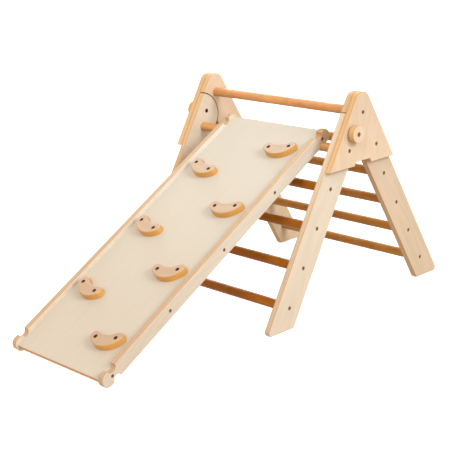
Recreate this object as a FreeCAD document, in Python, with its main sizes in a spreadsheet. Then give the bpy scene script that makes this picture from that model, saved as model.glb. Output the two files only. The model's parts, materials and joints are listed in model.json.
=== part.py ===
"""Folding climbing frame with a hook-on climbing ramp, for a toddler.

The side view lies in the YZ plane and the rungs run along X.
The front legs and the ramp reach towards -Y, and the floor is z = 0.
Every piece of the A-frame is placed from the handrail's axis, and every piece of
the ramp from the axis of the first front rung, which the ramp hooks over.
"""

import FreeCAD
import Part
import math
import os
import Sketcher

Vector = FreeCAD.Vector
Rotation = FreeCAD.Rotation
Placement = FreeCAD.Placement

# Driving sizes, in millimetres and degrees.
SIZES = {
    # A-frame
    "handrail_height": 527.0,
    "frame_width": 550.0,
    "lean_angle": 30.6,
    "leg_width": 85.0,
    "ply_thickness": 18.0,
    "edge_round": 2.0,
    "foot_round": 10.0,
    "heel_round": 5.0,
    "layer_gap": 0.3,
    # Apex and side plates
    "apex_rise": 53.0,
    "apex_round": 24.0,
    "plate_drop": 139.0,
    "plate_arch": 10.5,
    "arch_round": 9.0,
    # Rounded top of the front leg, and the hollow that it turns away from
    "cap_inset": 20.3,
    "cap_margin": 1.6,
    "cap_gap": 3.0,
    # Rungs
    "rung_diameter": 25.0,
    "rung_pitch": 108.8,
    # Rung screws
    "screw_diameter": 5.0,
    "screw_bite": 40.0,
    "head_diameter": 10.0,
    "head_height": 3.2,
    "head_recess": 0.8,
    "head_play": 0.3,
    "socket_width": 4.0,
    "socket_depth": 2.0,
    "pivot_play": 0.05,
    # Locking knobs
    "knob_diameter": 45.0,
    "knob_thickness": 18.0,
    "knob_along": 64.1,
    "knob_inset": 32.5,
    "knob_round": 1.5,
    "bolt_diameter": 8.0,
    "bolt_head": 13.0,
    "bolt_head_height": 5.0,
    "bolt_socket": 5.0,
    "bolt_play": 0.3,
    "bolt_tip_recess": 3.0,
    "insert_diameter": 12.0,
    "washer_diameter": 24.0,
    "washer_thickness": 1.6,
    "turn_gap": 0.3,
    # Ramp
    "ramp_width": 363.0,
    "ramp_shift": 20.5,
    "rail_height": 37.0,
    "hook_spacing": 844.4,
    "hook_setback": 22.1,
    "hook_play": 0.3,
    "panel_thickness": 12.0,
    "panel_overrun": 33.5,
    "rail_screw_set": 8.6,
    "rail_screw_diameter": 4.0,
    "rail_screw_bite": 32.0,
    "rail_head_diameter": 9.0,
    # Climbing holds
    "hold_length": 99.0,
    "hold_end_round": 14.0,
    "hold_end_rise": 5.0,
    "hold_belly": 28.0,
    "hold_dip": 8.5,
    "hold_thickness": 18.0,
    "hold_round": 3.0,
    "hold_pitch": 118.4,
    "hold_side": 94.5,
    "hold_turn": 14.0,
    "hold_screw_gap": 62.6,
    "hold_screw_bite": 9.0,
    "hold_bore_diameter": 11.0,
    "hold_head_diameter": 9.0,
    "hold_head_recess": 5.0,
}
RUNGS = 5
RAIL_SCREWS = 5
HOLDS = 7
HEXAGON = 6

NEAR = 0.01  # two positions closer than this are the same
LEAST_CUT = 1.0  # the volume that a pocket takes away at least

doc = FreeCAD.newDocument("ToddlerSlide")
sheet = doc.addObject("Spreadsheet::Sheet", "Sizes")
for row, (alias, number) in enumerate(SIZES.items(), start=1):
    sheet.set(f"A{row}", alias)
    sheet.set(f"B{row}", str(number))
    sheet.setAlias(f"B{row}", alias)
doc.recompute()


def size(name):
    """The expression for one cell of the sheet."""
    return f"Sizes.{name}"


def value(expression):
    """The number that an expression of the sheet's cells gives now."""
    result = sheet.evalExpression(str(expression))
    return float(getattr(result, "Value", result))


# Lengths and places worked out from the driving sizes.
LEAN = size("lean_angle")
HEIGHT = size("handrail_height")
PLY = size("ply_thickness")
HALF_WIDTH = f"({size('frame_width')} / 2)"
INNER = f"({HALF_WIDTH} - {PLY})"
PLATE_OUTER = f"({HALF_WIDTH} + {PLY})"
HALF_LEG = f"({size('leg_width')} / 2)"
EDGE = f"({HALF_LEG} / cos({LEAN}))"
PITCH_OUT = f"({size('rung_pitch')} * sin({LEAN}))"
PITCH_DOWN = f"({size('rung_pitch')} * cos({LEAN}))"
RUNG_RADIUS = f"({size('rung_diameter')} / 2)"
PIVOT_Z = f"({HEIGHT} - {PITCH_DOWN})"

# The ramp's panel lies on the rung that the hooks reach round, and its slope puts the
# lower hooks on the floor.
HOOK_RADIUS = f"({RUNG_RADIUS} + {size('hook_play')})"
HOOK_OFFSET = f"({HOOK_RADIUS} + {size('panel_thickness')} / 2)"
RAIL_HALF = f"({size('rail_height')} / 2)"
LOWER_HOOK = f"({size('hook_spacing')} + {size('hook_setback')})"
HOOK_REACH = f"sqrt({LOWER_HOOK}^2 + {HOOK_OFFSET}^2)"
HOOK_DROP = f"({PIVOT_Z} - {RAIL_HALF})"
SLOPE = f"(atan({HOOK_OFFSET} / {LOWER_HOOK}) + asin({HOOK_DROP} / {HOOK_REACH}))"

# The origin is on the floor under the middle of the whole object, front to back.
HOOK_OUT = f"({LOWER_HOOK} * cos({SLOPE}) + {HOOK_OFFSET} * sin({SLOPE}))"
FRONT_REACH = f"({PITCH_OUT} + {HOOK_OUT} + {RAIL_HALF})"
FOOT_CUT = f"({size('foot_round')} * (tan({LEAN}) + 1 / cos({LEAN}) - 1))"
REAR_REACH = f"({HEIGHT} * tan({LEAN}) + {EDGE} - {FOOT_CUT})"
APEX_Y = f"(({FRONT_REACH} - {REAR_REACH}) / 2)"
PIVOT_Y = f"({APEX_Y} - {PITCH_OUT})"


def place(item, x="0", y="0", z="0", turns=()):
    """Bind an item's Placement to the sheet; turns are (axis, angle) pairs, outermost first."""
    turns = turns or [("1, 0, 0", "0")]
    spins = " * ".join(f"rotation(vector({axis}), {angle} * 1 deg)" for axis, angle in turns)
    item.setExpression("Placement", f"placement(vector({x}, {y}, {z}), {spins})")


def new_body(label):
    body = doc.addObject("PartDesign::Body", label)
    body.Label = label
    return body


def new_sketch(body, role, offset="0"):
    """A sketch on one of the body's own origin planes, or parallel to it."""
    plane = next(feature for feature in body.Origin.OriginFeatures if feature.Role == role)
    sketch = body.newObject("Sketcher::SketchObject", f"{body.Label}_sketch")
    sketch.AttachmentSupport = [(plane, "")]
    sketch.MapMode = "FlatFace"
    sketch.setExpression("AttachmentOffset.Base.z", offset)
    return sketch


def bind(sketch, kind, expression, *where):
    """Add a dimension to a sketch and tie it to the sheet."""
    index = sketch.addConstraint(Sketcher.Constraint(kind, *where, value(expression)))
    sketch.setExpression(f"Constraints[{index}]", expression)


def bind_point(sketch, geometry, point, across, up):
    bind(sketch, "DistanceX", across, -1, 1, geometry, point)
    bind(sketch, "DistanceY", up, -1, 1, geometry, point)


def draw_polygon(sketch, corners):
    """A closed outline whose corners are pairs of expressions."""
    points = [Vector(value(across), value(up), 0) for across, up in corners]
    for start, end in zip(points, points[1:] + points[:1]):
        sketch.addGeometry(Part.LineSegment(start, end))
    for index, (across, up) in enumerate(corners):
        previous = (index - 1) % len(corners)
        sketch.addConstraint(Sketcher.Constraint("Coincident", previous, 2, index, 1))
        bind_point(sketch, index, 1, across, up)


def draw_circles(sketch, centres, radius):
    for across, up in centres:
        centre = Vector(value(across), value(up), 0)
        index = sketch.addGeometry(Part.Circle(centre, Vector(0, 0, 1), value(radius)))
        bind_point(sketch, index, 3, across, up)
        bind(sketch, "Radius", radius, index)


def draw_arc(sketch, centre, radius, start, end):
    """An arc drawn counter-clockwise from one point to another; returns its index."""
    angles = [math.atan2(point.y - centre.y, point.x - centre.x) for point in (start, end)]
    circle = Part.Circle(centre, Vector(0, 0, 1), radius)
    return sketch.addGeometry(Part.ArcOfCircle(circle, *angles))


def pad(body, sketch, length, direction=1):
    feature = body.newObject("PartDesign::Pad", f"{body.Label}_pad")
    feature.Profile = sketch
    feature.Reversed = direction < 0
    feature.setExpression("Length", length)
    doc.recompute()
    return feature


def pocket(body, sketch, depth, direction):
    """Cut a sketch into the body, along its plane's normal (1) or against it (-1)."""
    before = body.Shape.Volume
    feature = body.newObject("PartDesign::Pocket", f"{body.Label}_pocket")
    feature.Profile = sketch
    feature.Reversed = direction > 0
    feature.setExpression("Length", depth)
    doc.recompute()
    if body.Shape.Volume > before - LEAST_CUT:
        raise RuntimeError(f"{body.Label}: a pocket cut nothing")
    return feature


def round_edges(body, names, radius):
    """Round edges of the body's last feature."""
    base = body.Tip
    feature = body.newObject("PartDesign::Fillet", f"{body.Label}_round")
    feature.Base = (base, names)
    feature.setExpression("Radius", radius)
    doc.recompute()
    return feature


def edges_at(body, corners):
    """The edges along X that stand on the given corners of a YZ outline."""
    spots = [(value(across), value(up)) for across, up in corners]
    names = []
    for index, edge in enumerate(body.Tip.Shape.Edges, start=1):
        ends = [(vertex.Y, vertex.Z) for vertex in edge.Vertexes]
        if any(all(math.dist(spot, end) < NEAR for end in ends) for spot in spots):
            names.append(f"Edge{index}")
    return names


def rim_at(body, height):
    """The edges of the body's rim that lies at a height on its own Z axis."""
    level = value(height)
    edges = enumerate(body.Tip.Shape.Edges, start=1)
    return [f"Edge{index}" for index, edge in edges
            if max(abs(edge.BoundBox.ZMin - level), abs(edge.BoundBox.ZMax - level)) < NEAR]


def flat_edges(body, axis, curve=object):
    """The edges that lie in a plane square to an axis: both rims of a padded outline."""
    length = {"x": "XLength", "z": "ZLength"}[axis]
    edges = enumerate(body.Tip.Shape.Edges, start=1)
    return [f"Edge{index}" for index, edge in edges
            if getattr(edge.BoundBox, length) < NEAR and isinstance(edge.Curve, curve)]


def drill(body, centres, radius, depth, direction, role="YZ_Plane", offset="0"):
    """Round holes of one size, from a plane into the body."""
    sketch = new_sketch(body, role, offset)
    draw_circles(sketch, centres, radius)
    pocket(body, sketch, depth, direction)


def sign(side):
    """Which way a side piece faces outwards along X."""
    return 1 if side == "right" else -1


# Places in the side view, measured from the floor under the handrail.
def rung_spot(number, direction):
    """The centre of a rung: number 0 is the handrail, direction -1 the front leg."""
    return f"{direction} * {number} * {PITCH_OUT}", f"{HEIGHT} - {number} * {PITCH_DOWN}"


def edge_spot(height, direction, inner=False):
    """A point at a given height on a leg's outer or inner edge."""
    offset = f"-{EDGE}" if inner else f"+{EDGE}"
    return f"{direction} * (({HEIGHT} - {height}) * tan({LEAN}) {offset})", height


def leg_spot(along, outward):
    """A point of the front leg: down its centreline from the handrail, and forwards from it."""
    across = f"-({along} * sin({LEAN}) + {outward} * cos({LEAN}))"
    return across, f"{HEIGHT} - {along} * cos({LEAN}) + {outward} * sin({LEAN})"


APEX_TOP = f"({HEIGHT} + {size('apex_rise')})"
PLATE_BOTTOM = f"({HEIGHT} - {size('plate_drop')})"
CAP_OUT = f"({HALF_LEG} - {size('cap_inset')})"
CAP_CHORD = f"({size('leg_width')} - {size('cap_inset')})"
CAP_RADIUS = f"({CAP_CHORD} + {size('cap_margin')})"
CROTCH_ALONG = f"({HALF_LEG} / tan({LEAN}))"
CAP_ALONG = f"({CROTCH_ALONG} + sqrt({CAP_RADIUS}^2 - {CAP_CHORD}^2))"
KNOB_OUT = f"({HALF_LEG} - {size('knob_inset')})"
SCREW_RADIUS = f"({size('screw_diameter')} / 2)"
HEAD_HOLE = f"({size('head_diameter')} / 2 + {size('head_play')})"
HEAD_DEPTH = f"({size('head_height')} + {size('head_recess')})"
BOLT_RADIUS = f"({size('bolt_diameter')} / 2)"
FRONT_OUTER = f"({HALF_WIDTH} - {size('layer_gap')})"
FRONT_INNER = f"({INNER} - {size('layer_gap')})"


def make_rear_leg(side):
    """A rear leg in one piece with the apex head, hollowed for the front leg's round top."""
    out = sign(side)
    body = new_body(f"rear_leg_{side}")
    foot = edge_spot("0", 1)
    heel = edge_spot("0", 1, inner=True)
    apex = (edge_spot(APEX_TOP, 1), edge_spot(APEX_TOP, -1))
    crotch = ("0", f"{HEIGHT} - {EDGE} / tan({LEAN})")
    corners = [foot, *apex, leg_spot(CAP_ALONG, HALF_LEG), crotch, heel]
    sketch = new_sketch(body, "YZ_Plane")
    draw_polygon(sketch, corners)
    pad(body, sketch, PLY, out)
    round_edges(body, edges_at(body, [foot]), size("foot_round"))
    round_edges(body, edges_at(body, [heel]), size("heel_round"))
    round_edges(body, edges_at(body, apex), size("apex_round"))
    round_edges(body, flat_edges(body, "x"), size("edge_round"))
    centre = leg_spot(CAP_ALONG, CAP_OUT)
    drill(body, [centre], f"{CAP_RADIUS} + {size('cap_gap')}", PLY, out)
    drill(body, [rung_spot(n, 1) for n in range(RUNGS + 1)], SCREW_RADIUS, PLY, out)
    lower = [rung_spot(n, 1) for n in range(2, RUNGS + 1)]
    drill(body, lower, HEAD_HOLE, HEAD_DEPTH, -out, offset=f"{out} * {PLY}")
    place(body, f"{out} * {INNER}", APEX_Y)
    return body


def make_front_leg(side):
    """A front leg in its own frame: +Z runs up the leg to the handrail's axis, -Y is forwards."""
    out = sign(side)
    body = new_body(f"front_leg_{side}")
    sketch = new_sketch(body, "YZ_Plane")
    half = value(HALF_LEG)
    radius = value(CAP_RADIUS)
    centre = Vector(-value(CAP_OUT), -value(CAP_ALONG), 0)
    front_top = Vector(-half, centre.y + math.sqrt(radius ** 2 - (half + centre.x) ** 2), 0)
    back_top = Vector(half, centre.y + math.sqrt(radius ** 2 - (half - centre.x) ** 2), 0)
    front_foot = (f"-{HALF_LEG}", f"-({HEIGHT} + {HALF_LEG} * sin({LEAN})) / cos({LEAN})")
    back_foot = (HALF_LEG, f"-({HEIGHT} - {HALF_LEG} * sin({LEAN})) / cos({LEAN})")
    feet = [Vector(value(across), value(up), 0) for across, up in (front_foot, back_foot)]
    for start, end in ((front_top, feet[0]), (feet[0], feet[1]), (feet[1], back_top)):
        sketch.addGeometry(Part.LineSegment(start, end))
    arc = draw_arc(sketch, centre, radius, back_top, front_top)
    for first, second in ((0, 1), (1, 2), (2, arc), (arc, 0)):
        sketch.addConstraint(Sketcher.Constraint("Coincident", first, 2, second, 1))
    bind_point(sketch, 1, 1, *front_foot)
    bind_point(sketch, 2, 1, *back_foot)
    bind(sketch, "DistanceX", f"-{HALF_LEG}", -1, 1, 0, 1)
    bind(sketch, "DistanceX", HALF_LEG, -1, 1, 2, 2)
    bind_point(sketch, arc, 3, f"-{CAP_OUT}", f"-{CAP_ALONG}")
    bind(sketch, "Radius", CAP_RADIUS, arc)
    pad(body, sketch, PLY, out)
    round_edges(body, edges_at(body, [front_foot]), size("foot_round"))
    round_edges(body, edges_at(body, [back_foot]), size("heel_round"))
    round_edges(body, flat_edges(body, "x", Part.Line), size("edge_round"))
    spots = [("0", f"-{n} * {size('rung_pitch')}") for n in range(1, RUNGS + 1)]
    drill(body, spots, SCREW_RADIUS, PLY, out)
    drill(body, spots[1:], HEAD_HOLE, HEAD_DEPTH, -out, offset=f"{out} * {PLY}")
    insert = (f"-{KNOB_OUT}", f"-{size('knob_along')}")
    drill(body, [insert], f"{size('insert_diameter')} / 2", PLY, out)
    place(body, f"{out} * {FRONT_INNER}", APEX_Y, HEIGHT, [("1, 0, 0", f"-{LEAN}")])
    return body


def make_side_plate(side):
    """The outer plate that covers the apex and carries the pivot and the locking knob."""
    out = sign(side)
    body = new_body(f"side_plate_{side}")
    arch_top = f"({PLATE_BOTTOM} + {size('plate_arch')})"
    arch_rear = edge_spot(PLATE_BOTTOM, 1, inner=True)
    arch_front = edge_spot(PLATE_BOTTOM, -1, inner=True)
    arch = ((arch_rear[0], arch_top), (arch_front[0], arch_top))
    apex = (edge_spot(APEX_TOP, 1), edge_spot(APEX_TOP, -1))
    lower = (edge_spot(PLATE_BOTTOM, -1), edge_spot(PLATE_BOTTOM, 1))
    sketch = new_sketch(body, "YZ_Plane")
    draw_polygon(sketch, [*apex, lower[0], arch_front, arch[1], arch[0], arch_rear, lower[1]])
    pad(body, sketch, PLY, out)
    round_edges(body, edges_at(body, apex), size("apex_round"))
    round_edges(body, edges_at(body, arch), size("arch_round"))
    round_edges(body, flat_edges(body, "x"), size("edge_round"))
    pivot = rung_spot(1, -1)
    fixed = [rung_spot(0, 1), rung_spot(1, 1)]
    drill(body, fixed, SCREW_RADIUS, PLY, out)
    drill(body, [pivot], f"{SCREW_RADIUS} + {size('pivot_play')}", PLY, out)
    drill(body, fixed + [pivot], HEAD_HOLE, HEAD_DEPTH, -out, offset=f"{out} * {PLY}")
    knob = leg_spot(size("knob_along"), KNOB_OUT)
    drill(body, [knob], f"{BOLT_RADIUS} + {size('bolt_play')}", PLY, out)
    place(body, f"{out} * {HALF_WIDTH}", APEX_Y)
    return body


def make_rung(label, number, direction, inner):
    """A round rung between the two inner faces, drilled at both ends for its screws."""
    rod = doc.addObject("Part::Cylinder", f"{label}_rod")
    rod.setExpression("Radius", RUNG_RADIUS)
    rod.setExpression("Height", f"2 * {inner}")
    place(rod, f"-{inner}", turns=[("0, 1, 0", "90")])
    holes = []
    for start in (f"-{inner}", f"{inner} - {size('screw_bite')}"):
        hole = doc.addObject("Part::Cylinder", f"{label}_hole")
        hole.setExpression("Radius", SCREW_RADIUS)
        hole.setExpression("Height", size("screw_bite"))
        place(hole, start, turns=[("0, 1, 0", "90")])
        holes.append(hole)
    rims = doc.addObject("Part::MultiFuse", f"{label}_holes")
    rims.Shapes = holes
    rung = doc.addObject("Part::Cut", label)
    rung.Base = rod
    rung.Tool = rims
    rung.Label = label
    across, up = rung_spot(number, direction)
    place(rung, y=f"{APEX_Y} + {across}", z=up)
    return rung


def screw(radius, length, head_radius, head_height, socket):
    """One screw along -X: the top of its head is at the origin, with a hexagon socket."""
    left = Vector(-1, 0, 0)
    head = Part.makeCylinder(head_radius, head_height, Vector(0, 0, 0), left)
    shank = Part.makeCylinder(radius, length - head_height, Vector(-head_height, 0, 0), left)
    corner = socket / math.sqrt(3)
    turns = [2 * math.pi * step / HEXAGON for step in range(HEXAGON + 1)]
    rim = Part.makePolygon([Vector(0, corner * math.cos(turn), corner * math.sin(turn)) for turn in turns])
    hollow = Part.Face(rim).extrude(left * value(size("socket_depth")))
    return head.fuse(shank).removeSplitter().cut(hollow)


def solids_node(label, solids, placement=Placement()):
    """A node of several separate solids, such as a set of screws."""
    node = doc.addObject("Part::Feature", label)
    node.Label = label
    node.Shape = Part.makeCompound(solids) if len(solids) > 1 else solids[0]
    node.Placement = placement
    return node


def side_screws(label, spots, outer, length):
    """Screws of one length in both sides, with their heads sunk into the outer faces."""
    one = screw(value(SCREW_RADIUS), value(length), value(size("head_diameter")) / 2,
                value(size("head_height")), value(size("socket_width")))
    depth = value(outer) - value(size("head_recess"))
    solids = []
    for across, up in spots:
        spot = Vector(depth, value(APEX_Y) + value(across), value(up))
        right = one.copy()
        right.Placement = Placement(spot, Rotation())
        solids.append(right)
        left = one.copy()
        left.Placement = Placement(Vector(-spot.x, spot.y, spot.z), Rotation(Vector(0, 0, 1), 180))
        solids.append(left)
    return solids_node(label, solids)


def knob_place(item, side, distance):
    """Put a turned piece on a knob's axis, its own +Z pointing outwards at a distance along X."""
    across, up = leg_spot(size("knob_along"), KNOB_OUT)
    out = sign(side)
    place(item, f"{out} * ({distance})", f"{APEX_Y} + {across}", up, [("0, 1, 0", str(90 * out))])


def ring(label, side, outer, inner, thickness, distance, rounding=None):
    """A disc with a round hole, such as a washer, turned about a knob's axis."""
    body = new_body(label)
    sketch = new_sketch(body, "XY_Plane")
    draw_circles(sketch, [("0", "0")], outer)
    pad(body, sketch, thickness)
    if rounding:
        round_edges(body, flat_edges(body, "z"), rounding)
    drill(body, [("0", "0")], inner, thickness, 1, role="XY_Plane")
    knob_place(body, side, distance)
    return body


def make_knob(side):
    """A wooden disc with its bolt, the washer under it, and the threaded insert in the leg."""
    bolt_head = f"{size('bolt_head')} / 2"
    bolt_hole = f"{BOLT_RADIUS} + {size('bolt_play')}"
    washer_face = f"({PLATE_OUTER} + {size('turn_gap')})"
    knob_back = f"({washer_face} + {size('washer_thickness')} + {size('turn_gap')})"
    knob_face = f"({knob_back} + {size('knob_thickness')})"
    ring(f"knob_washer_{side}", side, f"{size('washer_diameter')} / 2", bolt_hole,
         size("washer_thickness"), washer_face)
    knob = ring(f"knob_{side}", side, f"{size('knob_diameter')} / 2", BOLT_RADIUS, size("knob_thickness"),
                knob_back, size("knob_round"))
    drill(knob, [("0", "0")], bolt_head, size("bolt_head_height"), -1, role="XY_Plane",
          offset=size("knob_thickness"))
    ring(f"knob_insert_{side}", side, f"{size('insert_diameter')} / 2", BOLT_RADIUS, PLY, FRONT_INNER)

    across, up = leg_spot(size("knob_along"), KNOB_OUT)
    spot = Vector(0, value(APEX_Y) + value(across), value(up))
    turn = Rotation(Vector(0, 0, 1), 0 if side == "right" else 180)
    length = f"{knob_face} - {FRONT_OUTER} - {size('layer_gap')} - {size('turn_gap')}"
    bolt = screw(value(BOLT_RADIUS), value(length), value(bolt_head), value(size("bolt_head_height")),
                 value(size("bolt_socket")))
    start = spot + Vector(sign(side) * value(knob_face), 0, 0)
    solids_node(f"knob_bolt_{side}", [bolt], Placement(start, turn))

    tip = doc.addObject("Part::Cylinder", f"knob_bolt_tip_{side}")
    tip.Label = f"knob_bolt_tip_{side}"
    tip.setExpression("Radius", BOLT_RADIUS)
    tip.setExpression("Height", f"{PLY} - {size('bolt_tip_recess')}")
    knob_place(tip, side, f"{FRONT_INNER} + {size('bolt_tip_recess')}")


# The ramp's own frame: its origin is on the axis of the first front rung, +Y runs up the
# slope and +Z stands square to it.
RAMP_HALF = f"({size('ramp_width')} / 2)"
RAIL_INNER = f"({RAMP_HALF} - {PLY})"
PANEL_TOP = f"({HOOK_OFFSET} + {size('panel_thickness')} / 2)"
RAIL_SCREW_PITCH = f"(({size('hook_spacing')} + 2 * {size('rail_screw_set')}) / {RAIL_SCREWS - 1})"
RAIL_SCREW_RADIUS = f"({size('rail_screw_diameter')} / 2)"
RAIL_HEAD_RADIUS = f"({size('rail_head_diameter')} / 2)"
RAIL_SPOTS = [(f"{size('rail_screw_set')} - {n} * {RAIL_SCREW_PITCH}", HOOK_OFFSET)
              for n in range(RAIL_SCREWS)]
SLOPE_TURN = ("1, 0, 0", SLOPE)


def ramp_place(item, x="0", up_slope="0", square="0", turns=()):
    """Place a piece of the ramp by its coordinates in the ramp's own frame."""
    y = f"{PIVOT_Y} + ({up_slope}) * cos({SLOPE}) - ({square}) * sin({SLOPE})"
    z = f"{PIVOT_Z} + ({up_slope}) * sin({SLOPE}) + ({square}) * cos({SLOPE})"
    place(item, f"{size('ramp_shift')} + {x}", y, z, [SLOPE_TURN, *turns])


def make_ramp_rail(side):
    """A side rail with round ends, and hook notches in both edges at both ends."""
    out = sign(side)
    body = new_body(f"ramp_rail_{side}")
    upper_end = size("hook_setback")
    lower_end = f"-{LOWER_HOOK}"
    top = f"{HOOK_OFFSET} + {RAIL_HALF}"
    bottom = f"{HOOK_OFFSET} - {RAIL_HALF}"
    corners = [(upper_end, top), (lower_end, top), (lower_end, bottom), (upper_end, bottom)]
    points = [Vector(value(across), value(up), 0) for across, up in corners]
    middle = value(HOOK_OFFSET)
    radius = value(RAIL_HALF)
    sketch = new_sketch(body, "YZ_Plane")
    sketch.addGeometry(Part.LineSegment(points[0], points[1]))
    low = draw_arc(sketch, Vector(value(lower_end), middle, 0), radius, points[1], points[2])
    sketch.addGeometry(Part.LineSegment(points[2], points[3]))
    high = draw_arc(sketch, Vector(value(upper_end), middle, 0), radius, points[3], points[0])
    for first in range(4):
        sketch.addConstraint(Sketcher.Constraint("Coincident", first, 2, (first + 1) % 4, 1))
    for line in (0, 2):
        bind_point(sketch, line, 1, *corners[line])
        bind_point(sketch, line, 2, *corners[line + 1])
    bind(sketch, "DistanceX", lower_end, -1, 1, low, 3)
    bind(sketch, "DistanceX", upper_end, -1, 1, high, 3)
    pad(body, sketch, PLY, out)
    round_edges(body, flat_edges(body, "x"), size("edge_round"))
    hooks = ("0", f"-{size('hook_spacing')}")
    notches = [(along, up) for along in hooks for up in ("0", f"2 * {HOOK_OFFSET}")]
    drill(body, notches, HOOK_RADIUS, PLY, out)
    drill(body, RAIL_SPOTS, RAIL_SCREW_RADIUS, PLY, out)
    drill(body, RAIL_SPOTS, RAIL_HEAD_RADIUS, HEAD_DEPTH, -out, offset=f"{out} * {PLY}")
    ramp_place(body, f"{out} * {RAIL_INNER}")
    return body


def hold_spot(number):
    """The middle of a hold on the panel: the side changes from one to the next."""
    side = 1 if number % 2 == 0 else -1
    middle = f"({size('hook_spacing')} / 2)"
    along = f"-({middle} + {number - (HOLDS - 1) / 2} * {size('hold_pitch')})"
    return side, f"{side} * {size('hold_side')}", along


def hold_screw_spots(number):
    """The two screws of a hold, in the ramp's frame."""
    side, across, along = hold_spot(number)
    half = f"{size('hold_screw_gap')} / 2"
    turn = f"({side} * {size('hold_turn')})"
    return [(f"{across} + {end} * {half} * cos({turn})", f"{along} + {end} * {half} * sin({turn})")
            for end in (-1, 1)]


def make_ramp_panel():
    """The board between the rails, drilled for the rails' and the holds' screws."""
    body = new_body("ramp_panel")
    upper = size("panel_overrun")
    lower = f"-({size('hook_spacing')} + {size('panel_overrun')})"
    sketch = new_sketch(body, "XY_Plane", f"{PANEL_TOP} - {size('panel_thickness')}")
    draw_polygon(sketch, [(f"-{RAIL_INNER}", lower), (RAIL_INNER, lower), (RAIL_INNER, upper),
                          (f"-{RAIL_INNER}", upper)])
    pad(body, sketch, size("panel_thickness"))
    spots = [spot for number in range(HOLDS) for spot in hold_screw_spots(number)]
    drill(body, spots, RAIL_SCREW_RADIUS, size("hold_screw_bite"), -1, role="XY_Plane", offset=PANEL_TOP)
    for out in (1, -1):
        drill(body, RAIL_SPOTS, RAIL_SCREW_RADIUS, size("rail_screw_bite"), -out,
              offset=f"{out} * {RAIL_INNER}")
    ramp_place(body)
    return body


def make_hold(number):
    """A bean-shaped hold: two round ends, a round belly and a dip that faces up the ramp.

    Its screws are on the hold's own X axis, and the centres of its ends rise above it.
    """
    body = new_body(f"hold_{number + 1}")
    half = f"({size('hold_length')} / 2 - {size('hold_end_round')})"
    end = size("hold_end_round")
    rise = size("hold_end_rise")
    belly = f"({size('hold_belly')} + {rise})"
    dip = f"({size('hold_dip')} - {rise})"
    belly_radius = f"(({half}^2 + {belly}^2 - {end}^2) / (2 * ({belly} - {end})))"
    dip_radius = f"(({half}^2 + {dip}^2 - {end}^2) / (2 * ({end} - {dip})))"
    level = value(rise)
    right = Vector(value(half), level, 0)
    left = Vector(-value(half), level, 0)
    belly_centre = Vector(0, level + value(belly_radius) - value(belly), 0)
    dip_centre = Vector(0, level + value(dip) + value(dip_radius), 0)
    radius = value(end)
    low = [middle + (middle - belly_centre).normalize() * radius for middle in (left, right)]
    high = [middle + (dip_centre - middle).normalize() * radius for middle in (left, right)]
    sketch = new_sketch(body, "XY_Plane")
    draw_arc(sketch, belly_centre, value(belly_radius), low[0], low[1])
    draw_arc(sketch, right, radius, low[1], high[1])
    draw_arc(sketch, dip_centre, value(dip_radius), high[0], high[1])
    draw_arc(sketch, left, radius, high[0], low[0])
    joins = ((0, 2, 1, 1), (1, 2, 2, 2), (2, 1, 3, 1), (3, 2, 0, 1))
    for join in joins:
        sketch.addConstraint(Sketcher.Constraint("Tangent", *join))
    bind_point(sketch, 1, 3, half, rise)
    bind_point(sketch, 3, 3, f"-{half}", rise)
    for arc, length in ((1, end), (3, end), (0, belly_radius), (2, dip_radius)):
        bind(sketch, "Radius", length, arc)
    thickness = size("hold_thickness")
    pad(body, sketch, thickness)
    round_edges(body, rim_at(body, thickness), size("hold_round"))
    spots = [(f"{direction} * {size('hold_screw_gap')} / 2", "0") for direction in (-1, 1)]
    drill(body, spots, RAIL_SCREW_RADIUS, thickness, 1, role="XY_Plane")
    sunk = f"{size('hold_head_recess')} + {size('head_height')}"
    drill(body, spots, f"{size('hold_bore_diameter')} / 2", sunk, -1, role="XY_Plane", offset=thickness)
    side, across, along = hold_spot(number)
    ramp_place(body, across, along, PANEL_TOP, [("0, 0, 1", f"{side} * {size('hold_turn')}")])
    return body


def ramp_frame():
    """The ramp's frame as a Placement, for the nodes made of several solids."""
    origin = Vector(value(size("ramp_shift")), value(PIVOT_Y), value(PIVOT_Z))
    return Placement(origin, Rotation(Vector(1, 0, 0), value(SLOPE)))


def make_ramp_screws():
    radius = value(RAIL_SCREW_RADIUS)
    head_height = value(size("head_height"))
    socket = value(size("socket_width"))
    sunk = value(size("head_recess"))
    length = value(PLY) - sunk + value(size("rail_screw_bite"))
    one = screw(radius, length, value(RAIL_HEAD_RADIUS), head_height, socket)
    solids = []
    for along, up in RAIL_SPOTS:
        for out, angle in ((1, 0), (-1, 180)):
            spot = Vector(out * (value(RAMP_HALF) - sunk), value(along), value(up))
            solids.append(one.copy())
            solids[-1].Placement = Placement(spot, Rotation(Vector(0, 0, 1), angle))
    solids_node("ramp_rail_screws", solids, ramp_frame())

    sunk = value(size("hold_head_recess"))
    length = value(size("hold_thickness")) - sunk + value(size("hold_screw_bite"))
    one = screw(radius, length, value(size("hold_head_diameter")) / 2, head_height, socket)
    top = value(PANEL_TOP) + value(size("hold_thickness")) - sunk
    solids = []
    for number in range(HOLDS):
        for across, along in hold_screw_spots(number):
            solids.append(one.copy())
            upright = Rotation(Vector(0, 1, 0), -90)
            solids[-1].Placement = Placement(Vector(value(across), value(along), top), upright)
    solids_node("hold_screws", solids, ramp_frame())


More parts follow.
